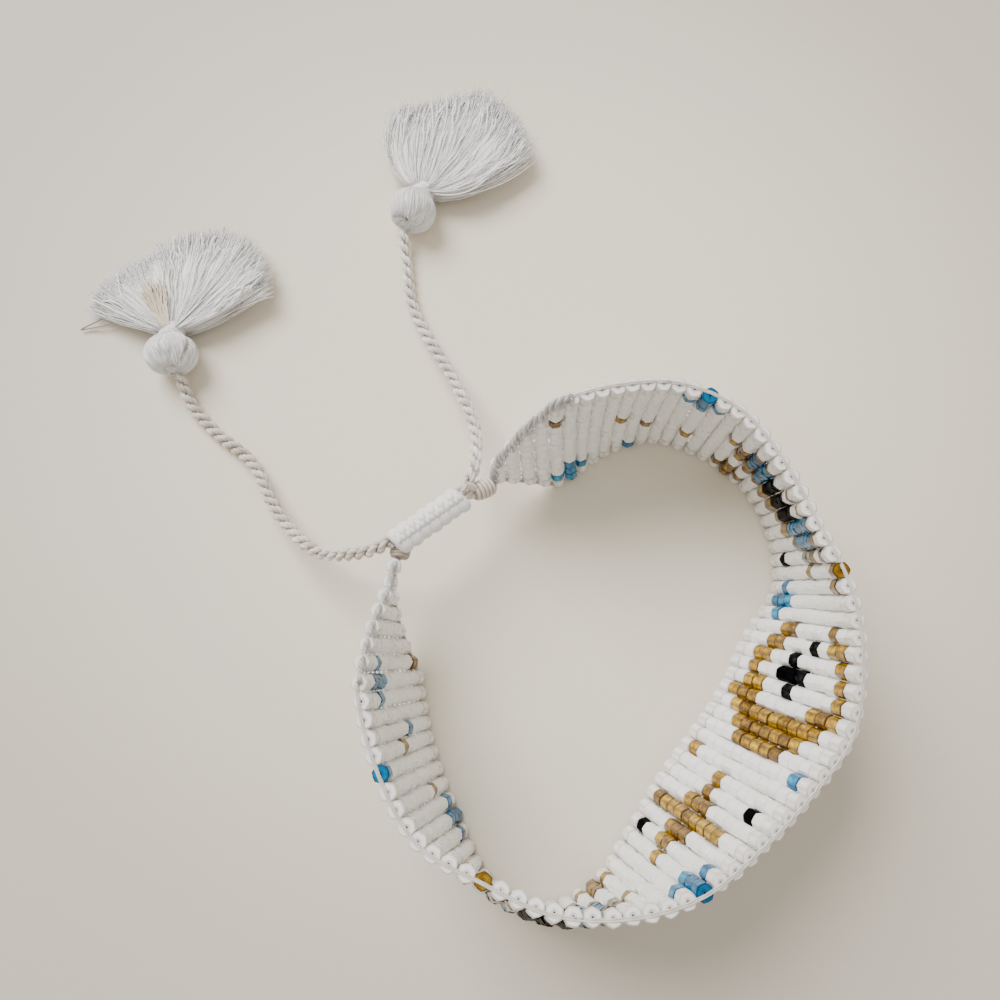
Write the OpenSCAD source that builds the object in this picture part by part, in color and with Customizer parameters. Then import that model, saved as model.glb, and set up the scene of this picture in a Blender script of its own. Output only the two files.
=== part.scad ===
// Beaded bracelet: a woven band of seed beads standing on its lower edge, closed by a
// sliding knot, with two twisted cords that end in tassels lying on the surface.

/* [Beads] */
// Diameter of one seed bead, and the thickness of the band
bead_d = 1.6; // [1.2:0.1:2.2]
// Distance from one row of beads to the next, along the loop
row_pitch = 1.65; // [1.4:0.05:2]
// Distance from bead to bead across the band
column_pitch = 1.4; // [1.2:0.05:1.6]

/* [Band] */
// Number of bead rows from end to end
rows = 81; // [71:1:91]
// Number of beads across the full width
columns = 13; // [11:2:15]
// Number of beads in the last row, beside the end knot
end_beads = 5; // [3:2:7]
// How far the middle of a row bulges out of the straight line between its ends
bow = 0.5; // [0:0.1:1]
// Thickness of the band between two rows
valley_t = 1.2; // [0.8:0.1:1.5]

/* [Closure] */
// Diameter of the wound tie on the narrow end
tie_d = 1.9; // [1.6:0.1:2.2]
// Width of the sliding knot
slide_w = 3.3; // [2.8:0.1:3.6]
// Height of the sliding knot
slide_h = 2.1; // [1.8:0.1:2.4]
// Number of square knots in the sliding knot
slide_knots = 7; // [4:1:9]
// Diameter of the wound knot on the wide end
end_knot_d = 2.3; // [2:0.1:2.6]
// Diameter of the strand between the sliding knot and the end knot
strand_d = 0.9; // [0.6:0.1:1]
// Diameter of a twisted cord
cord_d = 1.4; // [1.1:0.1:1.5]

/* [Tassels] */
// Height of a tassel's head
head_h = 5.6; // [4.8:0.1:6]
// Diameter of a tassel's neck
neck_d = 3; // [2.6:0.1:3.4]
// Number of locks in a tassel's skirt
locks = 13; // [9:1:17]
// Width of a lock near its tip
lock_w = 2.6; // [2:0.1:3.2]
// Thickness of a lock near its tip
lock_t = 1.7; // [1.2:0.1:1.8]

/* [Hidden] */

band_w = columns * column_pitch;
// Number of rows and pitch that the stations below are drawn for
drawn_rows = 81;
drawn_pitch = 1.65;
loop_scale = rows * row_pitch / (drawn_rows * drawn_pitch);
// Sides of a cord, and the distance between its rings
cord_sides = 8;
cord_ring = 3.3;
// How squarely a wound piece's ends are rounded
end_round = 4;

// Columns: x and y of the lower edge, then how far the upper edge leans in x and in y.
// The stations lie evenly along the band, from the narrow end to the wide end.
stations = [
    [-21.8,   8.9,  1.0, -0.6],
    [-20.5,   2.6, -3.0, -1.1],
    [-19.5,  -4.2, -3.7, -1.4],
    [-18.0, -10.7, -3.1, -1.2],
    [-15.3, -17.2, -2.3, -0.3],
    [-12.2, -23.4,  0.4,  2.7],
    [ -6.6, -26.5,  0.9,  3.3],
    [ -0.5, -24.5,  1.5,  1.1],
    [  3.6, -19.1,  3.8, -2.6],
    [  7.3, -13.4,  5.8, -4.5],
    [ 11.4,  -8.3,  6.8, -5.1],
    [ 15.1,  -3.3,  7.4, -4.9],
    [ 18.2,   2.2,  5.4, -3.6],
    [ 22.1,   7.8,  0.7, -2.7],
    [ 22.1,  14.3, -1.7, -3.0],
    [ 19.4,  20.2, -1.7, -2.7],
    [ 14.6,  24.3, -0.8, -1.4],
    [  8.5,  26.5, -0.6, -0.8],
    [  2.3,  24.7, -0.7,  0.8],
    [ -3.3,  20.8, -1.4,  2.9],
    [-10.0,  18.8, -1.0,  1.5],
];

// Where the closure's pieces begin and end
tie_from = [-21.4, 9.75, 8.7];
tie_to = [-21.15, 11.2, 8.6];
slide_from = [-21.3, 11.05, 10.5];
slide_to = [-14.65, 16.15, 9.7];
strand_from = [-14.45, 16.3, 9.35];
strand_to = [-13.45, 16.95, 8.75];
knot_from = [-13.35, 17.0, 8.7];
knot_to = [-11.15, 18.15, 7.6];

// Routes of the two cords, from the sliding knot to the tassel's head
left_route = [
    [-22.1, 11.25, 10.3], [-23.6, 10.6, 9.6], [-25.4, 10.3, 8.7], [-27.4, 10.3, 7.5], [-29.3, 10.6, 6.2],
    [-31.0, 11.1, 5.2], [-32.8, 12.3, 4.4], [-34.6, 14.0, 3.5], [-36.3, 16.0, 2.8], [-37.8, 18.2, 2.1],
    [-39.0, 20.5, 1.6], [-40.3, 22.6, 1.2], [-42.1, 24.4, 0.9], [-44.4, 26.1, 0.8], [-46.6, 28.1, 0.8],
    [-48.7, 30.5, 1.1], [-50.2, 34.0, 1.9]];
right_route = [
    [-14.8, 17.0, 10.0], [-13.9, 18.2, 9.5], [-13.3, 20.1, 8.7], [-13.1, 22.2, 7.9], [-13.2, 24.4, 7.0],
    [-13.7, 26.8, 6.0], [-14.5, 29.1, 5.0], [-15.5, 31.5, 4.0], [-16.6, 34.0, 3.0], [-17.9, 36.4, 2.2],
    [-19.2, 38.8, 1.6], [-20.5, 41.3, 1.2], [-21.5, 43.8, 0.9], [-22.1, 46.3, 0.8], [-22.4, 49.0, 0.9],
    [-22.8, 51.9, 1.3], [-23.0, 54.3, 1.9]];

// A tassel's head: its centre, its width and length, and the way its neck points in the plan
left_head = [-51.2, 36.55];
left_size = [6.2, 5.2];
left_turn = 97;
right_head = [-21.85, 57.05];
right_size = [6, 5.6];
right_turn = 67;

// Where the skirt leaves the neck: how far from the head's centre, and how high
neck_out = 3.3;
neck_z = 2.1;
neck_l = 1.5;
// A lock's width at the neck as a share of its full width, its thickness there, and how far it
// arches up between its ends
lock_root = 0.38;
lock_root_t = 2.3;
lock_arch = 1.2;

// Columns: the way a lock leaves the neck, the way to its tip, how far its tip lies from the
// neck, and how high its tip lies. Angles turn left from the neck's own way.
left_skirt = [
    [ 70,  61, 11.8, 0.9],
    [ 44,  45, 12.6, 0.9],
    [ 14,  21, 12.2, 1.0],
    [-14,  -8, 14.3, 1.2],
    [-44, -35, 15.4, 1.8],
    [-80, -68, 12.9, 2.6],
];
right_skirt = [
    [ 78,  41, 15.0, 0.9],
    [ 38,  26, 15.0, 0.9],
    [ 12,  13, 16.2, 1.0],
    [-14,  -1, 18.3, 1.2],
    [-42, -19, 17.2, 1.8],
    [-76, -43, 15.1, 2.6],
];

// Rounded line through a table's rows, at a place counted in rows from 0
function bent(a, b, c, d, u) =
    0.5 * (2 * b + (c - a) * u + (2 * a - 5 * b + 4 * c - d) * u ^ 2 + (3 * b - a - 3 * c + d) * u ^ 3);
function row_or_beyond(t, i) =
    i < 0 ? 2 * t[0] - t[1] : i >= len(t) ? 2 * t[len(t) - 1] - t[len(t) - 2] : t[i];
function along(t, s) =
    let (i = max(0, min(floor(s), len(t) - 2)))
    bent(row_or_beyond(t, i - 1), t[i], t[i + 1], row_or_beyond(t, i + 2), s - i);
function unit(v) = v / norm(v);
function mix(a, b, u) = a + (b - a) * u;

// Place of a bead row: r runs from 0 at the narrow end to rows - 1 at the wide end
function station(r) = along(stations, r / (rows - 1) * (len(stations) - 1));
function rise(r) =
    let (s = station(r), lean = [s[2], s[3]])
    unit([lean[0], lean[1], sqrt(band_w ^ 2 - lean * lean)]);
function middle(r) =
    let (s = station(r), up = rise(r))
    [s[0] * loop_scale, s[1] * loop_scale, bead_d / 2 * norm([up[0], up[1]])] + up * band_w / 2;
function forward(r) =
    unit(middle(min(r + 0.5, rows - 1)) - middle(max(r - 0.5, 0)));
function outward(r) = unit(cross(forward(r), rise(r)));
function beads(i) = min(columns, max(1, 2 * i - 1), end_beads + 2 * (rows - 1 - i));

// A closed skin over rings that hold equally many points
module skin(rings) {
    n = len(rings[0]);
    last = len(rings) - 1;
    sides = [for (i = [0:last - 1], k = [0:n - 1])
        let (a = i * n + k, b = i * n + (k + 1) % n)
        each [[a, b, b + n], [a, b + n, a + n]]];
    first_face = [[for (k = [n - 1:-1:0]) k]];
    last_face = [[for (k = [0:n - 1]) last * n + k]];
    polyhedron([for (ring = rings) each ring], concat(sides, first_face, last_face));
}

// Rings of a round or flat tube: each point has its half width and half height
function tube_rings(points, halves, sides) = [for (i = [0:len(points) - 1])
    let (a = points[max(i - 1, 0)],
         b = points[min(i + 1, len(points) - 1)],
         f = unit(b - a),
         side = unit(cross([0, 0, 1], f)),
         top = cross(f, side))
    [for (k = [0:sides - 1])
        let (w = 360 * (k + 0.5) / sides)
        points[i] - side * cos(w) * halves[i][0] + top * sin(w) * halves[i][1]]];

// One woven sheet of beads: every row is a rib, the ends are stepped to a taper, and the
// lower edge of the full rows is cut flat where it stands on the surface
function rib_section(r, half_h, half_t) =
    let (m = middle(r), up = rise(r), o = outward(r), full = band_w / 2)
    [for (p = [[-1, -1], [-1, 1], [-0.5, 1], [0, 1], [0.5, 1], [1, 1], [1, -1], [0.5, -1], [0, -1], [-0.5, -1]])
        let (q = m + up * half_h * p[0] + o * (half_t * p[1] + bow * (1 - (p[0] * half_h / full) ^ 2)))
        half_h == full && p[0] == -1 ? [q[0], q[1], 0] : q];

module band() {
    rings = [for (i = [0:rows - 1], part = [-1, 0, 1])
        let (n = beads(i),
             next = beads(min(max(i + part, 0), rows - 1)),
             half_h = (part == 0 ? n : min(n, next)) * column_pitch / 2,
             half_t = (part == 0 ? bead_d : valley_t) / 2)
        if (part != -1 || i == 0)
            rib_section(max(-0.49, min(i + part * 0.5, rows - 0.51)), half_h, half_t)];
    color("whitesmoke") skin(rings);
}

// Wound thread on a straight core: ridges from end to end, and rounded ends
module wound(from, to, d_wide, d_high, ridges, depth, end_share, steps = 6) {
    n = ridges * steps;
    points = [for (i = [0:n]) mix(from, to, i / n)];
    halves = [for (i = [0:n])
        let (u = i / n,
             dome = sqrt(max(0, 1 - abs(2 * u - 1) ^ end_round)),
             size = mix(end_share, 1, dome) - depth * (0.5 + 0.5 * cos(360 * i / steps)))
        [d_wide, d_high] / 2 * size];
    skin(tube_rings(points, halves, 16));
}

module left_tie() {
    color("tan") wound(tie_from, tie_to, tie_d, tie_d, 4, 0.1, 0.85, 4);
}

module slide_knot() {
    color("white") wound(slide_from, slide_to, slide_w, slide_h, slide_knots, 0.22, 0.6);
}

module end_knot() {
    color("ivory") wound(knot_from, knot_to, end_knot_d, end_knot_d, 5, 0.1, 0.5, 4);
}

module end_strand() {
    half = [strand_d, strand_d] / 2;
    middle_point = mix(strand_from, strand_to, 0.5);
    color("ivory") skin(tube_rings([strand_from, middle_point, strand_to], [half, half, half], 12));
}

// A twisted cord laid down its own route
function route_length(route, i = 1) =
    i == len(route) ? 0 : norm(route[i] - route[i - 1]) + route_length(route, i + 1);

module cord(route) {
    n = ceil(route_length(route) / cord_ring);
    points = [for (i = [0:n]) along(route, i / n * (len(route) - 1))];
    skin(tube_rings(points, [for (p = points) [cord_d, cord_d] / 2], cord_sides));
}

module left_cord() {
    color("wheat") cord(left_route);
}

module right_cord() {
    color("ivory") cord(right_route);
}

// A tassel: a wound ball for a head, and locks that fan out of its neck on the surface
function lock_point(row, u) =
    let (reach = row[2],
         a = reach / 2 * [sin(-row[0]), cos(row[0])],
         b = reach * [sin(-row[1]), cos(row[1])],
         flat = 2 * u * (1 - u) * a + u ^ 2 * b,
         z = mix(neck_z, row[3], u) + lock_arch * u * (1 - u))
    [flat[0], flat[1], z];

module lock(row, steps = 7) {
    points = [for (i = [0:steps]) lock_point(row, i / steps)];
    halves = [for (i = [0:steps])
        let (u = i / steps,
             w = lock_w / 2 * mix(lock_root, 1, sin(90 * u)),
             h = min(points[i][2], mix(lock_root_t, lock_t, u) / 2))
        [w, h]];
    skin(tube_rings(points, halves, 10));
}

module tassel(centre, size, turn, skirt) {
    translate(centre) rotate([0, 0, turn - 90]) {
        translate([0, 0, head_h / 2]) scale([size[0] / head_h, size[1] / head_h, 1])
            sphere(d = head_h, $fn = 28);
        translate([0, neck_out - neck_l / 3, neck_z]) rotate([-90, 0, 0])
            cylinder(d1 = neck_d * 1.1, d2 = neck_d * 0.9, h = neck_l, center = true, $fn = 20);
        translate([0, neck_out, 0])
            for (i = [0:locks - 1])
                lock(along(skirt, i / (locks - 1) * (len(skirt) - 1)));
    }
}

module left_tassel() {
    color("white") tassel(left_head, left_size, left_turn, left_skirt);
}

module right_tassel() {
    color("white") tassel(right_head, right_size, right_turn, right_skirt);
}

band();
left_tie();
slide_knot();
end_strand();
end_knot();
left_cord();
right_cord();
left_tassel();
right_tassel();
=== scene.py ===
"""Looks of a beaded bracelet that stands on its lower edge, with two tasselled cords beside it.

Every length is in metres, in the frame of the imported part. Rows of beads are counted from the
narrow end of the band, and columns from its upper edge.
"""

import logging
import math
from dataclasses import dataclass, field
from enum import Enum
from typing import Iterator, Optional, Sequence

import bpy
import numpy as np
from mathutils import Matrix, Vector


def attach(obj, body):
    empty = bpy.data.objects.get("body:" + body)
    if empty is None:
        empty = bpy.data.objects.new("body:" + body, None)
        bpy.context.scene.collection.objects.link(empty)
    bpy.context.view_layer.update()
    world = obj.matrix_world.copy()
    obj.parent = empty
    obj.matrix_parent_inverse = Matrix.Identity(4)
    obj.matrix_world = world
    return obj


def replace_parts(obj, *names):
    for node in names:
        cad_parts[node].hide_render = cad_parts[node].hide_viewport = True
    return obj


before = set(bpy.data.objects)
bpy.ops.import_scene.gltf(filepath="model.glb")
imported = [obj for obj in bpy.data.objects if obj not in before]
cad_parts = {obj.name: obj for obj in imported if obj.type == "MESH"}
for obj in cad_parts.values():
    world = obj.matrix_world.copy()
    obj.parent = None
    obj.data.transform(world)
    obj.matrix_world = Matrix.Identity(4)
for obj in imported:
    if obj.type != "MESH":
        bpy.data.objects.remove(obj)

log = logging.getLogger("bracelet")

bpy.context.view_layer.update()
BODY = "root"
UP = np.array([0.0, 0.0, 1.0])
MILLIMETRE = 0.001
FULL_TURN = 2 * math.pi

# How far a shell's tint moves its fibres' pattern along, so that no two strands look the same
TINT_SHIFT = 37

# How deep light goes into white glass and floss, in metres, and its share for each colour
LIGHT_DEPTH = 0.0006
LIGHT_SPREAD = (1.0, 0.95, 0.9)

# Steps of this share of a width never land twice in one place
GOLDEN_STEP = 0.618034

Colour = tuple[float, float, float]
Point = tuple[float, float, float]
Socket = bpy.types.NodeSocket


def unit(v: np.ndarray) -> np.ndarray:
    """Vectors of length 1 that point the same way, along the last axis."""
    return v / np.linalg.norm(v, axis=-1, keepdims=True)


def bent(table: np.ndarray, place: float) -> np.ndarray:
    """A point on the rounded line through a table's rows.

    Args:
        table: one row of numbers for each station.
        place: where on the line, counted in stations from 0.

    Returns:
        The row of numbers at that place.
    """
    i = max(0, min(int(math.floor(place)), len(table) - 2))
    u = place - i
    b, c = table[i], table[i + 1]
    a = table[i - 1] if i > 0 else 2 * b - c
    d = table[i + 2] if i + 2 < len(table) else 2 * c - b
    return 0.5 * (
        2 * b + (c - a) * u + (2 * a - 5 * b + 4 * c - d) * u**2 + (3 * b - a - 3 * c + d) * u**3
    )


def smooth_line(points: Sequence[Sequence[float]], steps: int) -> np.ndarray:
    """A rounded line through a few points.

    Args:
        points: the points that the line passes through.
        steps: how many short stretches lie between two of them.

    Returns:
        The points of the line, one row each.
    """
    table = np.array(points, dtype=float)
    places = np.linspace(0, len(table) - 1, steps * (len(table) - 1) + 1)
    return np.array([bent(table, s) for s in places])


def lengths(path: np.ndarray) -> np.ndarray:
    """How far each point of a path lies from its start, along the path."""
    return np.concatenate([[0.0], np.cumsum(np.linalg.norm(np.diff(path, axis=0), axis=1))])


def evenly(path: np.ndarray, spacing: float) -> np.ndarray:
    """The same path with its points an even distance apart.

    Args:
        path: points, one row each.
        spacing: the distance wanted between neighbours.

    Returns:
        The new points, with the first and last ones kept.
    """
    far = lengths(path)
    wanted = np.linspace(0, far[-1], max(2, round(far[-1] / spacing) + 1))
    return np.stack([np.interp(wanted, far, path[:, k]) for k in range(3)], axis=1)


def side_frames(path: np.ndarray, up: np.ndarray = UP) -> tuple[np.ndarray, np.ndarray]:
    """Two directions square to a path at each of its points.

    Args:
        path: points, one row each.
        up: a direction that the path never runs along.

    Returns:
        The direction to the side and the direction to the top, one row for each point.
    """
    ahead = unit(np.gradient(path, axis=0))
    side = unit(np.cross(ahead, up))
    return side, np.cross(side, ahead)


def tube(
    path: np.ndarray,
    radius: float | np.ndarray,
    sides: int,
    up: np.ndarray = UP,
    section: Optional[np.ndarray] = None,
) -> np.ndarray:
    """Rings of points round a path.

    Args:
        path: the middle line, one row for each ring.
        radius: one size for all rings, or one for each.
        sides: the number of points in a ring.
        up: a direction that the path never runs along.
        section: how far each point of a ring lies from the middle, as shares of the radius.

    Returns:
        An array of rings by points by 3.
    """
    side, top = side_frames(path, up)
    angle = np.arange(sides) * (FULL_TURN / sides)
    shape = np.ones(sides) if section is None else section
    reach = np.broadcast_to(radius, (len(path),))[:, None] * shape[None, :]
    return (
        path[:, None, :]
        + side[:, None, :] * (reach * np.cos(angle))[:, :, None]
        + top[:, None, :] * (reach * np.sin(angle))[:, :, None]
    )


def plied(
    path: np.ndarray, strands: int, off: float, lay: float, up: np.ndarray = UP
) -> list[np.ndarray]:
    """The lines of a few strands laid round one path.

    Args:
        path: the middle line, one row for each point.
        strands: how many strands there are.
        off: how far a strand lies from the middle line.
        lay: the length of one full turn.
        up: a direction that the path never runs along.

    Returns:
        One path for each strand.
    """
    side, top = side_frames(path, up)
    angle = lengths(path) * (FULL_TURN / lay)
    made = []
    for k in range(strands):
        spun = angle + k * FULL_TURN / strands
        made.append(path + off * (side * np.cos(spun)[:, None] + top * np.sin(spun)[:, None]))
    return made


def run_frame(a: np.ndarray, b: np.ndarray) -> tuple[np.ndarray, np.ndarray, np.ndarray]:
    """Three directions for a straight run between two points.

    Args:
        a: where it starts.
        b: where it ends.

    Returns:
        The directions along it, to its side and to its top.
    """
    axis = unit(b - a)
    side = unit(np.cross(UP, axis))
    return axis, side, np.cross(axis, side)


def set_off(
    middle: np.ndarray, side: np.ndarray, top: np.ndarray, wide: np.ndarray, high: np.ndarray
) -> np.ndarray:
    """Points that lie beside and above other points.

    Args:
        middle: the points that they are measured from.
        side: the direction to the side.
        top: the direction to the top.
        wide: how far to the side, one number for each point.
        high: how far to the top, one number for each point.

    Returns:
        One row for each point.
    """
    return middle + side * wide[:, None] + top * high[:, None]


def any_phase(rng: np.random.Generator) -> float:
    """A random place in a wave, in radians."""
    return rng.uniform(0, 6.28)


class Skin:
    """The surface of one piece, gathered from closed shells of rings."""

    def __init__(self) -> None:
        """Starts with no surface."""
        self.points: list[np.ndarray] = []
        self.quads: list[np.ndarray] = []
        self.caps: list[list[int]] = []
        self.ways: list[np.ndarray] = []
        self.tints: list[np.ndarray] = []
        self.shades: list[np.ndarray] = []
        self.count = 0

    def add(
        self,
        rings: np.ndarray,
        tint: float = 0.5,
        looped: bool = False,
        shade: float | np.ndarray = 0.0,
    ) -> None:
        """Adds a tube, closed at its ends, or a ring-shaped shell.

        Args:
            rings: an array of rings by points by 3.
            tint: a number from 0 to 1 that the finish may colour the shell by.
            looped: True if the last ring joins the first one.
            shade: how far the finish is darkened, from 0 to 1, as painted shade in grooves,
                creases, cores and joints, or by a bead's darker rims: one number, or one for each
                ring or point.
        """
        m, n = rings.shape[:2]
        i, k = np.meshgrid(np.arange(m if looped else m - 1), np.arange(n), indexing="ij")
        a, b = i * n + k, i * n + (k + 1) % n
        c, d = (i + 1) % m * n + (k + 1) % n, (i + 1) % m * n + k
        self.quads.append(np.stack([a, b, c, d], axis=-1).reshape(-1, 4) + self.count)
        if not looped:
            self.caps.append([self.count + j for j in range(n)][::-1])
            self.caps.append([self.count + (m - 1) * n + j for j in range(n)])
        angle = np.broadcast_to(np.arange(n) * (FULL_TURN / n), (m, n))
        far = np.broadcast_to(lengths(rings.mean(axis=1))[:, None] / MILLIMETRE, (m, n))
        way = np.stack([np.cos(angle), np.sin(angle), far + TINT_SHIFT * tint], axis=-1)
        dark = np.array(shade, dtype=float)
        if dark.ndim == 1:
            dark = dark[:, None]
        self.ways.append(way.reshape(-1, 3))
        self.points.append(rings.reshape(-1, 3))
        self.tints.append(np.full(m * n, tint))
        self.shades.append(np.broadcast_to(dark, (m, n)).reshape(-1))
        self.count += m * n

    def piece(self, name: str, finish: "Finish", slot: str, cut: bool = False) -> bpy.types.Object:
        """Makes the piece, dresses it and lets it ride on the bracelet.

        Args:
            name: the piece's own name.
            finish: what its surface looks like.
            slot: the name of a material slot; not used.
            cut: True if its faces are flat, as on cut glass.

        Returns:
            The new object.
        """
        mesh = bpy.data.meshes.new(name)
        faces = np.concatenate(self.quads).tolist() + self.caps
        mesh.from_pydata(np.concatenate(self.points).tolist(), [], faces)
        mesh.validate()
        way = mesh.attributes.new("way", "FLOAT_VECTOR", "POINT")
        way.data.foreach_set("vector", np.concatenate(self.ways).astype(np.float32).ravel())
        for label, values in (("tint", self.tints), ("shade", self.shades)):
            layer = mesh.attributes.new(label, "FLOAT", "POINT")
            layer.data.foreach_set("value", np.concatenate(values).astype(np.float32))
        mesh.polygons.foreach_set("use_smooth", np.full(len(mesh.polygons), not cut))
        mesh.update()
        made = bpy.data.objects.new(name, mesh)
        bpy.context.scene.collection.objects.link(made)
        made.data.materials.append(finish.material())
        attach(made, BODY)
        log.info("%s: %d points, %d faces", name, len(mesh.vertices), len(mesh.polygons))
        return made


class Nodes:
    """The shader nodes of one finish, with a short way to add and join them."""

    def __init__(self, name: str) -> None:
        """Starts an empty material.

        Args:
            name: the material's name.
        """
        self.material = bpy.data.materials.new(name)
        self.material.use_nodes = True
        self.tree = self.material.node_tree
        self.tree.nodes.clear()

    def add(self, kind: str, sockets: Optional[dict] = None, **settings: object) -> bpy.types.Node:
        """Adds one node.

        Args:
            kind: the node's type, without its leading words.
            sockets: values or other nodes' outputs, by the input's name or number.
            **settings: the node's own settings.

        Returns:
            The new node.
        """
        made = self.tree.nodes.new("ShaderNode" + kind)
        for name, value in settings.items():
            setattr(made, name, value)
        for name, value in (sockets or {}).items():
            if isinstance(value, Socket):
                self.tree.links.new(value, made.inputs[name])
            else:
                made.inputs[name].default_value = value
        return made

    def way(self, stretch: float) -> Socket:
        """The direction round and along a thread, with its length drawn out.

        Args:
            stretch: how many times longer than wide a fleck is.

        Returns:
            A vector output.
        """
        found = self.add("Attribute", attribute_name="way")
        scale = {"Vector": found.outputs["Vector"], "Scale": (1.0, 1.0, 1.0 / stretch)}
        return self.add("Mapping", scale).outputs["Vector"]

    def place(self) -> Socket:
        """The place on the object itself, in metres."""
        return self.add("TexCoord").outputs["Object"]

    def number(self, name: str) -> Socket:
        """A number that each point of the mesh was given, such as its tint or its shade."""
        return self.add("Attribute", attribute_name=name).outputs["Fac"]

    def noise(self, vector: Socket, scale: float, detail: float = 3.0) -> Socket:
        """A soft random pattern.

        Args:
            vector: where it is read.
            scale: how fine it is.
            detail: how many finer layers it has.

        Returns:
            Its strength, about 0.5 on average.
        """
        sockets = {"Vector": vector, "Scale": scale, "Detail": detail}
        return self.add("TexNoise", sockets).outputs["Fac"]

    def ramp(self, value: Socket, stops: Sequence[tuple[float, Colour]]) -> Socket:
        """Turns a number into a colour.

        Args:
            value: the number.
            stops: places from 0 to 1 with their colours.

        Returns:
            A colour output.
        """
        made = self.add("ValToRGB", {"Fac": value})
        elements = made.color_ramp.elements
        elements[0].position, elements[0].color = stops[0][0], (*stops[0][1], 1.0)
        elements[1].position, elements[1].color = stops[-1][0], (*stops[-1][1], 1.0)
        for where, colour in stops[1:-1]:
            elements.new(where).color = (*colour, 1.0)
        return made.outputs["Color"]

    def mixed(self, share: float | Socket, a: object, b: object) -> Socket:
        """A colour between two: the share of the second one, then each as an output or numbers."""
        return self.add("Mix", {0: share, 6: a, 7: b}, data_type="RGBA").outputs[2]

    def bump(self, height: Socket, depth: float, strength: float) -> Socket:
        """Small relief on a surface.

        Args:
            height: its height, from 0 to 1.
            depth: how high 1 is, in metres.
            strength: how much of it shows.

        Returns:
            A normal output.
        """
        sockets = {"Height": height, "Distance": depth, "Strength": strength}
        return self.add("Bump", sockets).outputs["Normal"]

    def finished(self, sockets: dict) -> bpy.types.Material:
        """Joins one shader to the output.

        Args:
            sockets: the shader's values, by name.

        Returns:
            The material.
        """
        shader = self.add("BsdfPrincipled", sockets)
        self.add("OutputMaterial", {"Surface": shader.outputs["BSDF"]})
        return self.material


@dataclass(frozen=True)
class Finish:
    """What a surface looks like."""

    name: str
    colour: Colour

    def material(self) -> bpy.types.Material:
        """The material, made once and shared."""
        return bpy.data.materials.get(self.name) or self.made()

    def made(self) -> bpy.types.Material:
        """Builds the material."""
        raise NotImplementedError


@dataclass(frozen=True)
class BeadGlass(Finish):
    """Seed bead glass, from opaque to clear.

    A bead's own tint sets it a little apart from its neighbours, its rims and its outline are
    darker than its wall, and fine flecks and a faint waviness break its gloss.
    """

    slot: str
    dark: Colour = (0.0, 0.0, 0.0)
    light: Colour = (1.0, 1.0, 1.0)
    # The rims' and outline's colour; on white glass the darker rims are partly dirt and partly
    # painted shade at the bead ends
    rim: Colour = (0.0, 0.0, 0.0)
    outline: float = 0.0
    clear: float = 0.0
    milky: float = 0.0
    roughness: float = 0.15
    gloss: float = 0.5
    bending: float = 1.52
    # How fine the flecks are and how much they count beside the bead's own tint
    flecks: float = 2300.0
    fleck_share: float = 0.7
    # How fine the waves on the glass are and how high they stand
    waves: float = 1400.0
    wave_height: float = 0.00002

    def made(self) -> bpy.types.Material:
        """Builds the glass.

        Returns:
            The material.
        """
        n = Nodes(self.name)
        flecks = n.noise(n.place(), self.flecks, 2.0)
        mottle = n.mixed(self.fleck_share, n.number("tint"), flecks)
        wall = n.ramp(mottle, [(0.32, self.dark), (0.52, self.colour), (0.72, self.light)])
        relief = n.bump(n.noise(n.place(), self.waves, 2.0), self.wave_height, 0.3)
        aside = n.add("LayerWeight", {"Blend": 0.45}).outputs["Facing"]
        turned = n.ramp(aside, [(0.35, (0.0, 0.0, 0.0)), (0.95, (self.outline,) * 3)])
        # Darker rims by each point's shade number: on white glass partly dirt and partly painted
        # shade at the bead ends
        rimmed = n.mixed(n.number("shade"), wall, (*self.rim, 1.0))
        sockets = {
            "Base Color": n.mixed(turned, rimmed, (*self.rim, 1.0)),
            "Roughness": self.roughness,
            "IOR": self.bending,
            "Specular IOR Level": self.gloss,
            "Normal": relief,
            "Transmission Weight": self.clear,
            "Subsurface Weight": self.milky,
            "Subsurface Radius": LIGHT_SPREAD,
            "Subsurface Scale": LIGHT_DEPTH,
        }
        return n.finished(sockets)


@dataclass(frozen=True)
class SpunThread(Finish):
    """Spun thread or floss, with fine fibres along each strand."""

    shade: Colour = (0.5, 0.5, 0.5)
    # The colour that painted shade darkens the thread towards, by each point's shade number
    deep: Colour = (0.32, 0.27, 0.22)
    fibres: float = 5.0
    stretch: float = 3.0
    relief: float = 0.00004
    roughness: float = 0.65
    sheen: float = 0.3
    clear: float = 0.0
    patches: float = 0.25
    patch_fineness: float = 260.0
    tint_share: float = 0.3
    soft: float = 0.15

    def made(self) -> bpy.types.Material:
        """Builds the thread's surface.

        Returns:
            The material.
        """
        n = Nodes(self.name)
        fibres = n.noise(n.way(self.stretch), self.fibres, 4.0)
        patches = n.noise(n.place(), self.patch_fineness, 2.0)
        strand = n.mixed(self.tint_share, fibres, n.number("tint"))
        mottle = n.mixed(self.patches, strand, patches)
        thread = n.ramp(mottle, [(0.3, self.shade), (0.62, self.colour)])
        # Painted shade: each point's shade number darkens the thread towards the deep colour
        sockets = {
            "Base Color": n.mixed(n.number("shade"), thread, (*self.deep, 1.0)),
            "Roughness": self.roughness,
            "Normal": n.bump(fibres, self.relief, 0.8),
            "Sheen Weight": self.sheen,
            "Sheen Roughness": 0.4,
            "Transmission Weight": self.clear,
            "Subsurface Weight": self.soft,
            "Subsurface Radius": LIGHT_SPREAD,
            "Subsurface Scale": LIGHT_DEPTH * self.soft,
        }
        return n.finished(sockets)


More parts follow.
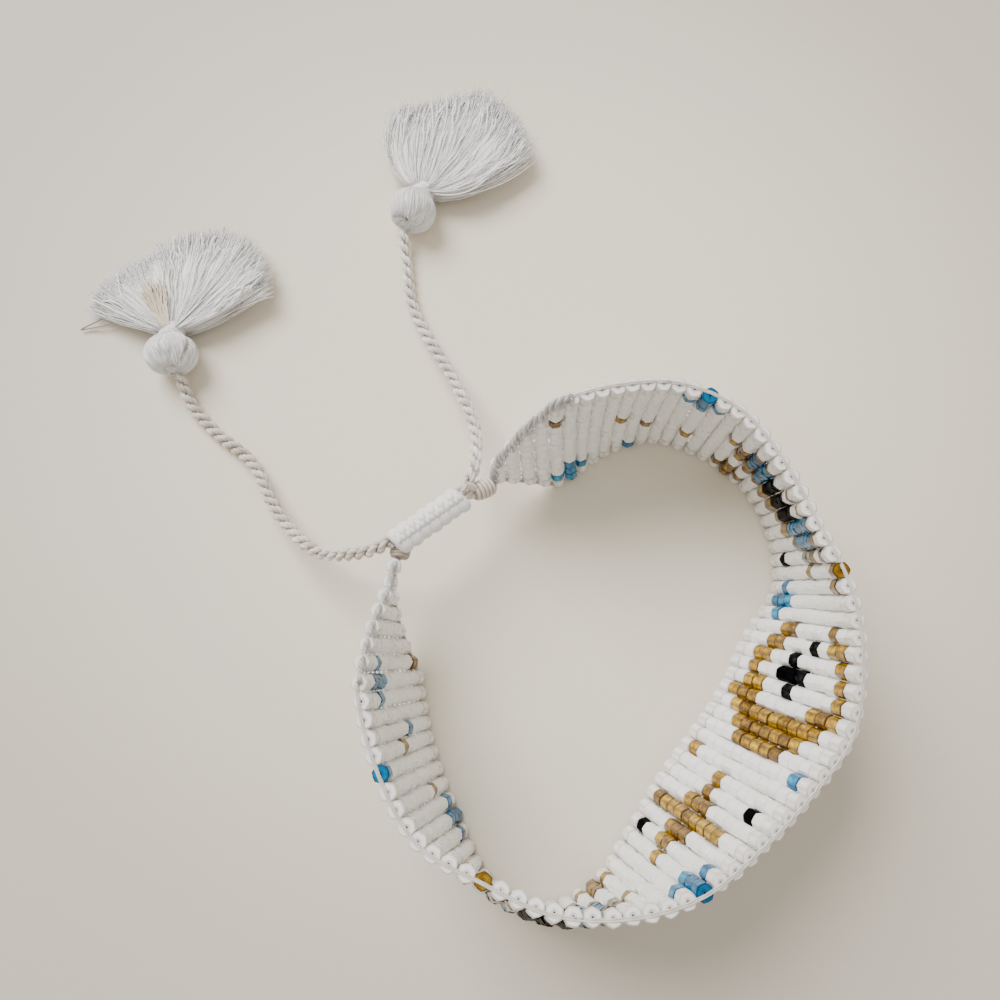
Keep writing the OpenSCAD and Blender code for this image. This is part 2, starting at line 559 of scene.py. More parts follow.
@dataclass(frozen=True)
class PaleCard(Finish):
    """The pale, faintly mottled surface below the bracelet, with a painted falloff of light: a
    little darker further out.
    """

    shade: Colour = (0.5, 0.5, 0.5)
    # The colour that the painted falloff of light darkens it towards
    outer: Colour = (0.30, 0.28, 0.26)
    clouds: float = 14.0
    grain: float = 900.0
    # Painted falloff of light: it is painted at its brightest up to the near distance from its
    # middle and darkest from the far one
    middle: Point = (0.0, 0.0, 0.0)
    near: float = 0.0225
    far: float = 0.09
    fading: float = 0.5

    def made(self) -> bpy.types.Material:
        """Builds the surface.

        Returns:
            The material.
        """
        n = Nodes(self.name)
        clouds = n.noise(n.place(), self.clouds)
        grain = n.noise(n.place(), self.grain)
        mottled = n.ramp(n.mixed(0.3, clouds, grain), [(0.3, self.shade), (0.7, self.colour)])
        # Painted falloff of light: darker with distance from the middle, as a pool of light that
        # fades outwards
        ends = {0: n.place(), 1: self.middle}
        apart = n.add("VectorMath", ends, operation="DISTANCE").outputs["Value"]
        span = {0: apart, 1: self.near, 2: self.far}
        outward = n.add("MapRange", span, interpolation_type="SMOOTHSTEP").outputs[0]
        painted_shade = n.add("Math", {0: outward, 1: self.fading}, operation="MULTIPLY").outputs[0]
        sockets = {
            "Base Color": n.mixed(painted_shade, mottled, (*self.outer, 1.0)),
            "Roughness": 0.6,
            "Normal": n.bump(grain, 0.00005, 0.35),
            "Specular IOR Level": 0.3,
        }
        return n.finished(sockets)


class Bead(Enum):
    """The glass of a bead."""

    WHITE = "white"
    AMBER = "amber"
    BLUE = "blue"
    SMOKE = "smoke"
    BLACK = "black"


GLASS = {
    # White glass's darker rims are partly dirt and partly painted shade in the joints and round the
    # rows' end faces
    Bead.WHITE: BeadGlass(
        "white_glass", (0.97, 0.965, 0.95), "beads_white",
        dark=(0.93, 0.925, 0.91), light=(0.975, 0.97, 0.96), rim=(0.58, 0.55, 0.51),
        outline=0.05, milky=0.6, roughness=0.22,
    ),
    Bead.AMBER: BeadGlass(
        "amber_glass", (0.46, 0.24, 0.0), "beads_amber",
        dark=(0.16, 0.07, 0.0), light=(0.84, 0.53, 0.03), rim=(0.05, 0.02, 0.0),
        outline=0.85, clear=0.06, roughness=0.2, gloss=0.25,
    ),
    Bead.BLUE: BeadGlass(
        "blue_glass", (0.0, 0.34, 0.66), "beads_blue",
        dark=(0.0, 0.19, 0.39), light=(0.0, 0.58, 0.92), rim=(0.0, 0.03, 0.10),
        outline=0.7, clear=0.06, roughness=0.2, gloss=0.15,
    ),
    Bead.SMOKE: BeadGlass(
        "smoke_glass", (0.30, 0.32, 0.25), "beads_blue",
        dark=(0.16, 0.18, 0.13), light=(0.50, 0.54, 0.46), rim=(0.05, 0.06, 0.04),
        outline=0.7, clear=0.1, roughness=0.2, gloss=0.3,
    ),
    Bead.BLACK: BeadGlass(
        "black_glass", (0.003, 0.003, 0.004), "beads_black",
        dark=(0.001, 0.001, 0.002), light=(0.030, 0.030, 0.034),
        roughness=0.3, gloss=0.03, bending=1.2,
    ),
}
EDGE_THREAD = SpunThread(
    "edge_thread", (0.84, 0.80, 0.76), shade=(0.60, 0.57, 0.54),
    fibres=3.0, roughness=0.25, clear=0.2, relief=0.00002,
)
SLOPE_THREAD = SpunThread(
    "slope_thread", (0.64, 0.63, 0.61), shade=(0.20, 0.19, 0.17),
    fibres=4.5, roughness=0.1, clear=0.2, relief=0.00003, patches=0.3,
)
CLEAR_THREAD = SpunThread(
    "clear_thread", (0.90, 0.89, 0.87), shade=(0.80, 0.79, 0.77),
    roughness=0.22, clear=0.35, relief=0.00001,
)
WHITE_CORD = SpunThread(
    "white_cord_thread", (0.95, 0.95, 0.95), shade=(0.80, 0.79, 0.80),
    fibres=4.0, stretch=2.0, relief=0.00006,
)
BEIGE_CORD = SpunThread(
    "beige_cord_thread", (0.85, 0.80, 0.74), shade=(0.38, 0.33, 0.28),
    fibres=3.0, stretch=2.0, patches=0.4,
)
CREAM_CORD = SpunThread(
    "cream_cord_thread", (0.91, 0.88, 0.84), shade=(0.48, 0.44, 0.39),
    fibres=3.0, stretch=2.0, patches=0.4,
)
BEIGE_TIE = SpunThread(
    "beige_tie_thread", (0.58, 0.51, 0.43), shade=(0.33, 0.28, 0.22), fibres=3.0, stretch=2.0,
)
CREAM_TIE = SpunThread(
    "cream_tie_thread", (0.86, 0.80, 0.73), shade=(0.55, 0.48, 0.40), fibres=3.0, stretch=2.0,
)
WHITE_FLOSS = SpunThread(
    "white_floss", (0.985, 0.98, 0.985), shade=(0.92, 0.91, 0.92), deep=(0.50, 0.48, 0.47),
    fibres=3.0, stretch=4.0, roughness=0.5, sheen=0.35, soft=0.5,
)
BEIGE_FLOSS = SpunThread(
    "beige_floss", (0.85, 0.76, 0.62), shade=(0.50, 0.40, 0.28),
    fibres=3.0, stretch=4.0, roughness=0.5,
)
DARK_LOOP = SpunThread("grey_thread", (0.45, 0.42, 0.38), shade=(0.28, 0.26, 0.23), roughness=0.4)
# The card is painted brightest round this middle, as a painted pool of light
CARD = PaleCard(
    "pale_card", (0.86, 0.80, 0.68), shade=(0.82, 0.76, 0.64), middle=(-0.004, 0.033, 0.0),
)


@dataclass(frozen=True)
class Motif:
    """Beads of one colour that belong together.

    A run is a row and the first and last column of its beads, all counted from the motif's middle.
    """

    colour: Bead
    runs: tuple[tuple[int, int, int], ...]

    def beads(self, row: int, column: int) -> Iterator[tuple[int, int]]:
        """The places of the motif's beads.

        Args:
            row: the row of its middle.
            column: the column of its middle.

        Returns:
            The row and column of each bead.
        """
        for down, first, last in self.runs:
            for across in range(first, last + 1):
                yield row + down, column + across

    def turned_over(self) -> "Motif":
        """The same motif with its rows in the other order."""
        return Motif(self.colour, tuple((-down, first, last) for down, first, last in self.runs))


CROSS = Motif(Bead.BLUE, ((-1, 0, 0), (0, -1, 1), (1, 0, 0)))
SPARK = Motif(Bead.AMBER, ((-1, 0, 0), (0, -1, 1), (1, 0, 0)))
BIG_STAR = Motif(
    Bead.AMBER,
    ((-3, 0, 0), (-2, 0, 1), (-1, -1, 1), (0, -4, 4), (1, -1, 1), (2, 0, 0), (3, 0, 0)),
)
CRESCENT = Motif(
    Bead.AMBER,
    (
        (-5, -2, 2), (-4, -3, 3), (-3, -4, 4),
        (-2, -5, -3), (-2, 3, 5), (-1, -5, -5), (-1, 3, 4), (0, -5, -5), (0, 4, 4),
        (1, -5, -5), (1, 3, 4), (2, -5, -4), (2, 2, 3), (3, -4, -4), (3, 1, 2),
    ),
)
NIGHT_STAR = Motif(Bead.BLACK, ((-1, 0, 0), (0, -1, 1), (1, 0, 0)))
EYE_RIM = Motif(
    Bead.AMBER,
    (
        (-5, -5, -5), (-5, 0, 0), (-4, -2, -2), (-3, -4, -4), (-3, 1, 1),
        (-2, 2, 3), (-1, -4, -4), (-1, 3, 3), (0, -3, -3), (0, 3, 4), (1, 3, 4),
        (2, -2, -2), (2, 3, 3), (3, -2, -2), (3, 2, 3), (4, 0, 2), (5, 0, 0),
    ),
)
EYE_IRIS = Motif(Bead.BLUE, ((-3, -3, 0), (-2, -4, 1), (2, -1, 2), (3, -1, 1)))
EYE_LID = Motif(Bead.SMOKE, ((-4, -1, 0),))
EYE_PUPIL = Motif(Bead.BLACK, ((-1, -1, 2), (0, -1, 2), (1, -1, 2)))
EYE = (EYE_RIM, EYE_IRIS, EYE_LID, EYE_PUPIL)


@dataclass
class Chart:
    """Which glass each bead of the band has, with rows and columns counted from 1."""

    crosses: tuple[tuple[int, int], ...] = ((8, 4), (17, 12), (33, 2), (52, 11), (67, 2), (76, 12))
    near_eye: tuple[int, int] = (25, 6)
    far_eye: tuple[int, int] = (59, 6)
    stars: tuple[tuple[int, int], ...] = ((36, 8),)
    sparks: tuple[tuple[int, int], ...] = ((29, 12), (63, 12))
    moons: tuple[tuple[int, int], ...] = ((47, 7),)
    amber_dots: tuple[tuple[int, int], ...] = (
        (7, 12), (12, 7), (15, 10), (20, 2), (20, 4), (21, 1), (22, 2), (23, 2), (40, 12),
        (53, 2), (55, 2), (67, 10), (70, 9), (72, 7), (77, 3),
    )
    white_dots: tuple[tuple[int, int], ...] = ((30, 1),)
    blue_dots: tuple[tuple[int, int], ...] = ((11, 9), (13, 1), (41, 2), (71, 13))
    black_dots: tuple[tuple[int, int], ...] = (
        (24, 2), (24, 3), (24, 4), (25, 2), (25, 3), (25, 4), (26, 2), (26, 3), (26, 4),
        (34, 12), (38, 3), (49, 5), (55, 11),
    )
    cells: dict[tuple[int, int], Bead] = field(default_factory=dict)

    def __post_init__(self) -> None:
        """Lays the motifs out, row by row."""
        figures = (
            (self.crosses, (CROSS,)),
            ((self.near_eye,), tuple(motif.turned_over() for motif in EYE)),
            ((self.far_eye,), EYE),
            (self.stars, (BIG_STAR,)),
            (self.sparks, (SPARK,)),
            (self.moons, (CRESCENT, NIGHT_STAR)),
        )
        for places, motifs in figures:
            for row, column in places:
                for motif in motifs:
                    self.cells.update((bead, motif.colour) for bead in motif.beads(row, column))
        dots = (
            (self.amber_dots, Bead.AMBER), (self.blue_dots, Bead.BLUE),
            (self.black_dots, Bead.BLACK), (self.white_dots, Bead.WHITE),
        )
        for places, glass in dots:
            self.cells.update((bead, glass) for bead in places)

    def glass(self, row: int, column: int) -> Bead:
        """The glass of one bead; the ground is white."""
        return self.cells.get((row, column), Bead.WHITE)


@dataclass
class BandShape:
    """The loop that the rows of beads stand on, as the part's own source draws it."""

    rows: int = 81
    columns: int = 13
    end_beads: int = 5
    column_pitch: float = 0.0014
    bead: float = 0.0016
    bow: float = 0.0005
    # Place of the lower edge in x and y, then how far the upper edge leans in x and in y
    stations: tuple[tuple[float, float, float, float], ...] = (
        (-0.0218, 0.0089, 0.0010, -0.0006),
        (-0.0205, 0.0026, -0.0030, -0.0011),
        (-0.0195, -0.0042, -0.0037, -0.0014),
        (-0.0180, -0.0107, -0.0031, -0.0012),
        (-0.0153, -0.0172, -0.0023, -0.0003),
        (-0.0122, -0.0234, 0.0004, 0.0027),
        (-0.0066, -0.0265, 0.0009, 0.0033),
        (-0.0005, -0.0245, 0.0015, 0.0011),
        (0.0036, -0.0191, 0.0038, -0.0026),
        (0.0073, -0.0134, 0.0058, -0.0045),
        (0.0114, -0.0083, 0.0068, -0.0051),
        (0.0151, -0.0033, 0.0074, -0.0049),
        (0.0182, 0.0022, 0.0054, -0.0036),
        (0.0221, 0.0078, 0.0007, -0.0027),
        (0.0221, 0.0143, -0.0017, -0.0030),
        (0.0194, 0.0202, -0.0017, -0.0027),
        (0.0146, 0.0243, -0.0008, -0.0014),
        (0.0085, 0.0265, -0.0006, -0.0008),
        (0.0023, 0.0247, -0.0007, 0.0008),
        (-0.0033, 0.0208, -0.0014, 0.0029),
        (-0.0100, 0.0188, -0.0010, 0.0015),
    )

    def __post_init__(self) -> None:
        """Works out what the other methods share."""
        self.table = np.array(self.stations)
        self.width = self.columns * self.column_pitch

    def station(self, row: float) -> np.ndarray:
        """The station at a row, counted from 0."""
        return bent(self.table, row / (self.rows - 1) * (len(self.table) - 1))

    def rise(self, row: float) -> np.ndarray:
        """The way up along a row."""
        lean = self.station(row)[2:]
        return unit(np.array([lean[0], lean[1], math.sqrt(self.width**2 - float(lean @ lean))]))

    def middle(self, row: float) -> np.ndarray:
        """The middle of a row.

        Args:
            row: the row, counted from 0.

        Returns:
            The point.
        """
        up = self.rise(row)
        foot = np.array([*self.station(row)[:2], self.bead / 2 * math.hypot(up[0], up[1])])
        return foot + up * self.width / 2

    def outward(self, row: float) -> np.ndarray:
        """The way out of the loop, square to the row."""
        ahead = self.middle(min(row + 0.5, self.rows - 1)) - self.middle(max(row - 0.5, 0))
        return unit(np.cross(unit(ahead), self.rise(row)))

    def beads_in(self, row: int) -> int:
        """How many beads a row has: the band's two ends taper."""
        return min(self.columns, max(1, 2 * row - 1), self.end_beads + 2 * (self.rows - 1 - row))

    def half(self, row: int) -> float:
        """Half the length of a row of the tapered band."""
        return self.beads_in(row) / 2 * self.column_pitch

    def left_out(self, row: int) -> int:
        """How many beads the last rows lack at their upper end, where the slope is steeper."""
        return max(0, row - (self.rows - 3))

    def end(self, row: int, sign: float) -> float:
        """How far above a row's middle its upper end lies, or its lower one for a minus sign."""
        missing = self.left_out(row) * self.column_pitch if sign > 0 else 0.0
        return sign * self.half(row) - missing

    def rows_at(self, high: float) -> list[int]:
        """The rows that reach past a line that lies so high above their middles."""
        return [r for r in range(self.rows) if self.end(r, -1) < high < self.end(r, 1)]

    def point(self, row: float, high: float, out: float = 0.0) -> np.ndarray:
        """A point of the band.

        Args:
            row: the row, counted from 0.
            high: how far above the row's middle, along the row.
            out: how far out of the bead's own middle line.

        Returns:
            The point.
        """
        swell = self.bow * (1 - (2 * high / self.width) ** 2)
        return self.middle(row) + self.rise(row) * high + self.outward(row) * (swell + out)


@dataclass
class BeadForm:
    """One seed bead: a short tube of glass with six faces and soft corners, and a narrow hole.

    Each face is two strips, so that the glass can be darker along the bead's corners.
    """

    radius: float = 0.00086
    across: float = 0.925
    faces: int = 6
    length: float = 0.00139
    corner: float = 0.7
    wall_from: float = 0.9
    # Columns: share of the radius, share of the half length, and how dark it is there
    profile: tuple[tuple[float, float, float], ...] = (
        (0.13, 0.95, 0.4), (0.26, 1.0, 0.8), (0.34, 1.0, 0.8), (0.43, 1.0, 0.05),
        (0.80, 1.0, 0.05), (0.91, 1.0, 1.0), (1.0, 0.90, 0.8), (1.0, 0.70, 0.0),
    )

    def shell(self) -> np.ndarray:
        """Rings of one bead round the origin, with its hole along Z.

        Returns:
            An array of rings by points by 3.
        """
        half = [(r * self.radius, z * self.length / 2) for r, z, _ in self.profile]
        sides = 2 * self.faces
        angle = np.arange(sides) * (FULL_TURN / sides)
        corners = np.tile([1.0, self.across], self.faces)
        rings = []
        for r, z in half + [(r, -z) for r, z in reversed(half)]:
            reach = r * corners
            ring = [reach * np.cos(angle), reach * np.sin(angle), np.full(sides, z)]
            rings.append(np.stack(ring, axis=1))
        return np.array(rings)

    def shades(self, face: float) -> np.ndarray:
        """How dark each point of each ring of the shell is.

        Args:
            face: how dark its flat ends are at least.

        Returns:
            An array of rings by points.
        """
        walls = np.array([r >= self.wall_from for r, _, _ in self.profile])
        dark = np.array([dark for _, _, dark in self.profile])
        ends = np.where(walls, dark, np.maximum(dark, face))
        corners = np.tile([self.corner, 0.0], self.faces)
        half = np.maximum(ends[:, None], walls[:, None] * corners)
        return np.concatenate([half, half[::-1]])


@dataclass
class Band:
    """The woven band: its beads, the threads between them and the threads along its edges."""

    shape: BandShape = field(default_factory=BandShape)
    chart: Chart = field(default_factory=Chart)
    form: BeadForm = field(default_factory=BeadForm)
    white_stretches: int = 3
    # How far beads stray from their places: the lean, the turn, the size and the shift
    lean_stray: float = 0.022
    turn_stray: float = 0.22
    size_stray: tuple[float, float, float] = (0.016, 0.016, 0.0048)
    shift_stray: float = 0.00003
    # How dark the ends are: of white beads inside a row, as a share, and of coloured ones, at
    # least; on white beads the darker ends are partly dirt and partly painted shade
    rim_share: float = 0.14
    coloured_end: float = 0.62
    warp: float = 0.00008
    edge_thread: float = 0.00010
    edge_shift: float = 0.0002
    # Strands over the stepped ends: the stout and the slim radius, and how far in they lie
    slope_strands: tuple[float, float] = (0.00026, 0.00015)
    slope_in: float = 0.0001
    gathered: int = 14
    gathered_thread: float = 0.00012
    gathered_bow: Point = (-0.0003, -0.0002, 0.0004)
    # How far the gathered threads stray where they leave the band and in the knot
    gathered_stray: tuple[float, float] = (0.0003, 0.00022)
    knot_end: Point = (-0.01125, 0.0181, 0.0077)
    tie_end: Point = (-0.0214, 0.0096, 0.0087)

    def pose(
        self, row: int, high: float, turn: float, rng: np.random.Generator
    ) -> tuple[np.ndarray, np.ndarray]:
        """How one bead lies in its row, a little astray.

        Args:
            row: its row, counted from 0.
            high: how far above the row's middle it sits.
            turn: how far its row's beads are turned about their holes.
            rng: the source of random numbers.

        Returns:
            The bead's own three directions, one row each, and its middle.
        """
        up, out = self.shape.rise(row), self.shape.outward(row)
        slope = -8 * self.shape.bow * high / self.shape.width**2
        axis = unit(up + out * slope + rng.normal(0, self.lean_stray, 3))
        face = unit(out - axis * float(out @ axis))
        turned = turn + rng.normal(0, self.turn_stray)
        first = face * math.cos(turned) + np.cross(axis, face) * math.sin(turned)
        size = 1 + np.array(self.size_stray) * rng.normal()
        basis = np.stack([first, np.cross(axis, first), axis]) * size[:, None]
        aside = rng.normal(0, self.shift_stray, 2)
        middle = self.shape.point(row, high) + out * aside[0] + np.cross(out, up) * aside[1]
        return basis, middle

    def beads(self) -> list[bpy.types.Object]:
        """Makes the beads, one piece for each glass, with the white ones in stretches.

        Returns:
            The pieces.
        """
        rng = np.random.default_rng(4)
        shell = self.form.shell()
        milky, coloured = self.form.shades(0.0), self.form.shades(self.coloured_end)
        skins: dict[tuple[Bead, int], Skin] = {}
        for row in range(self.shape.rows):
            count = self.shape.beads_in(row)
            row_turn = rng.uniform(0, math.pi / 3)
            for k in range(self.shape.left_out(row), count):
                column = (self.shape.columns - count) // 2 + k + 1
                high = ((self.shape.columns + 1) / 2 - column) * self.shape.column_pitch
                basis, middle = self.pose(row, high, row_turn, rng)
                glass = self.chart.glass(row + 1, column)
                part, shade = 0, coloured
                # White beads' darker rims, partly dirt and partly painted shade, are full at a
                # row's ends and a share of that inside it
                if glass is Bead.WHITE:
                    part = row * self.white_stretches // self.shape.rows
                    shade = milky * (self.rim_share if 0 < k < count - 1 else 1.0)
                tint = float(rng.uniform(0, 1))
                skin = skins.setdefault((glass, part), Skin())
                skin.add(shell @ basis + middle, tint=tint, looped=True, shade=shade)
        made = []
        for (glass, part), skin in skins.items():
            name = f"{glass.value}_beads_{part + 1}"
            made.append(skin.piece(name, GLASS[glass], GLASS[glass].slot, cut=True))
        return made

    def warps(self) -> bpy.types.Object:
        """Makes the threads that run along the loop between the columns of beads.

        Returns:
            The piece.
        """
        skin = Skin()
        for line in range(1, self.shape.columns):
            high = (self.shape.columns / 2 - line) * self.shape.column_pitch
            held = self.shape.rows_at(high)
            for side in (-1, 1):
                path = []
                for r in np.arange(2 * held[0], 2 * held[-1] + 1) / 2:
                    over = side * self.warp * (1.0 if int(r) % 2 else -1.0)
                    aside = side * self.warp if r % 1 else over / 2
                    path.append(self.shape.point(r, high + aside, over))
                skin.add(tube(np.array(path), self.warp, 5), tint=0.5 + 0.3 * side)
        return skin.piece("warp_threads", CLEAR_THREAD, "thread_clear")

    def edge(self, top: bool, out: float, lift: float, dip: float) -> np.ndarray:
        """The line of a thread along one edge, over the bead ends and down between them.

        Args:
            top: True for the upper edge, False for the lower one.
            out: how far the thread lies out of the bead's middle line.
            lift: how far it lies above a bead's end.
            dip: how far it lies below the lower bead's end between two beads.

        Returns:
            Its points, one row each.
        """
        sign = 1.0 if top else -1.0
        ends = [sign * self.shape.end(r, sign) for r in range(self.shape.rows)]
        path = [self.shape.point(0, sign * (ends[0] + lift), out)]
        for r in range(1, self.shape.rows):
            between = min(ends[r - 1], ends[r]) - dip
            path.append(self.shape.point(r - 0.5, sign * between, out))
            path.append(self.shape.point(r, sign * (ends[r] + lift), out))
        line = smooth_line(path, 3)
        line[:, 2] = np.maximum(line[:, 2], self.edge_thread)
        return line

    def edges(self) -> bpy.types.Object:
        """Makes the threads along both edges, two side by side along the upper one.

        Returns:
            The piece.
        """
        skin = Skin()
        r, out = self.edge_thread, self.edge_shift
        # Columns: whether it is the upper edge, how far out, the lift, the dip and the painted
        # shade, darkest on the lower thread where it dips between the rods
        runs = (
            (True, out + 0.9 * r, 0.8 * r, -0.3 * r, 0.0),
            (True, out - 0.9 * r, 0.8 * r, 0.3 * r, 0.1),
            (False, 0.0, -1.4 * r, 3.0 * r, 0.7),
        )
        for top, aside, lift, dip, shade in runs:
            line = self.edge(top, aside, lift, dip)
            skin.add(tube(line, r, 7, up=self.shape.outward(0)), shade=shade)
        return skin.piece("edge_threads", EDGE_THREAD, "thread_clear")

    def slopes(self) -> bpy.types.Object:
        """Makes the laid threads that cover the stepped ends and run on into the knots.

        Returns:
            The piece.
        """
        skin = Skin()
        last = self.shape.rows - 1
        stout, slim = self.slope_strands
        narrow, wide = range(7, -1, -1), range(last - 5, last + 1)
        # Columns: the rows that it passes, its edge, its strands' radius and where it ends
        runs = (
            (wide, 1.0, stout, self.knot_end), (wide, -1.0, slim, self.knot_end),
            (narrow, 1.0, slim, self.tie_end), (narrow, -1.0, slim, self.tie_end),
        )
        for rows, sign, strand, end in runs:
            above = sign * 1.2 * strand
            highs = [self.shape.end(r, sign) + above for r in rows]
            stops = [self.shape.point(r, high, -self.slope_in) for r, high in zip(rows, highs)]
            path = evenly(smooth_line(stops + [np.array(end)], 6), 0.6 * strand)
            path[:, 2] = np.maximum(path[:, 2], 2.5 * strand)
            for k, line in enumerate(plied(path, 3, 1.15 * strand, 9 * strand)):
                skin.add(tube(line, strand, 8), tint=0.2 + 0.3 * k)
        return skin.piece("slope_threads", SLOPE_THREAD, "thread_clear")

    def gathers(self) -> bpy.types.Object:
        """Makes the warp ends that leave the last rows and run into the wound knot.

        Returns:
            The piece.
        """
        rng = np.random.default_rng(12)
        skin = Skin()
        leaving, knotted = self.gathered_stray
        last = self.shape.rows - 1
        low, top = self.shape.end(last, -1), self.shape.end(last, 1)
        for share in np.linspace(0, 1, self.gathered):
            high = 0.95 * (low + (top - low) * share)
            start = self.shape.point(last, high, leaving * rng.normal())
            end = np.array(self.knot_end) + rng.normal(0, knotted, 3)
            bow = np.array(self.gathered_bow) * [1, 1, math.copysign(1, high)]
            path = smooth_line([start, (start + end) / 2 + bow, end], 8)
            skin.add(tube(path, self.gathered_thread, 6), tint=float(rng.uniform(0, 1)))
        return skin.piece("gathered_threads", CREAM_TIE, "thread_cream")

    def build(self) -> list[bpy.types.Object]:
        """Makes the whole band.

        Returns:
            Its pieces.
        """
        pieces = self.beads() + [self.warps(), self.edges(), self.slopes(), self.gathers()]
        for piece in pieces:
            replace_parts(piece, "band")
        return pieces


@dataclass
class TwistedCord:
    """A free cord of two plies laid round each other, from the sliding knot to its tassel.

    Each ply is itself a few yarns, twisted the other way.
    """

    name: str
    route: tuple[Point, ...]
    finish: Finish
    slot: str
    lay: float
    diameter: float = 0.0014
    ply: float = 0.00084
    yarns: int = 3
    yarn: float = 0.00025
    back_twist: float = -0.9
    # Painted shade in the groove between the plies: how dark it is at the middle, how fast that
    # fades outwards and its most
    painted_groove_shade: tuple[float, float, float] = (1.32, 1.5, 0.9)
    sides: int = 8
    spacing: float = 0.00011

    def path(self) -> np.ndarray:
        """The middle line of the cord."""
        return evenly(smooth_line(self.route, 16), self.spacing)

    def build(self) -> bpy.types.Object:
        """Makes the cord.

        Returns:
            The piece.
        """
        skin = Skin()
        middle = self.path()
        off, half = 0.45 * self.ply, self.ply / 2
        deep, fading, most = self.painted_groove_shade
        for k, ply in enumerate(plied(middle, 2, off, self.lay)):
            # A core in the painted shade colour, so that painted shade rather than light shows
            # between a ply's yarns
            skin.add(tube(ply, half - 0.6 * self.yarn, self.sides), tint=0.1, shade=1.0)
            yarns = plied(ply, self.yarns, half - self.yarn, self.back_twist * self.lay)
            for j, yarn in enumerate(yarns):
                rings = tube(yarn, self.yarn, self.sides)
                # Each yarn is painted darker towards the cord's middle, as painted shade in the
                # groove between the plies
                out = np.linalg.norm(rings - middle[:, None, :], axis=2) / (off + half)
                dark = np.clip(deep - fading * out, 0, most)
                skin.add(rings, tint=0.2 + 0.3 * k + 0.2 * j, shade=dark)
        piece = skin.piece(self.name + "_twist", self.finish, self.slot)
        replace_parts(piece, self.name)
        return piece

    def declare(self, piece: bpy.types.Object, tassel: list[bpy.types.Object]) -> None:
        """Takes the cord and the pieces of its tassel, and does nothing with them.

        Args:
            piece: the cord; not used.
            tassel: the pieces of the tassel on its end; not used.
        """


@dataclass(frozen=True)
class Fold:
    """A crease or hollow in the floss drawn over a tassel's head, in degrees.

    Round is counted about the neck's axis from the left, up over the top; along is counted from
    the cord to the neck. A crease leans by slant degrees round for each degree along.
    """

    round: float
    along: float
    wide: float
    long: float
    depth: float
    slant: float = 0.0

    def sunk(self, phi: np.ndarray, theta: np.ndarray) -> np.ndarray:
        """How far the surface sinks.

        Args:
            phi: how far round, in radians.
            theta: how far along, in radians.

        Returns:
            A share of the radius for each pair of angles.
        """
        far = np.degrees(theta) - self.along
        aside = (np.degrees(phi) - self.round - self.slant * far + 180) % 360 - 180
        return self.depth * np.exp(-((aside / self.wide) ** 2) - (far / self.long) ** 2)


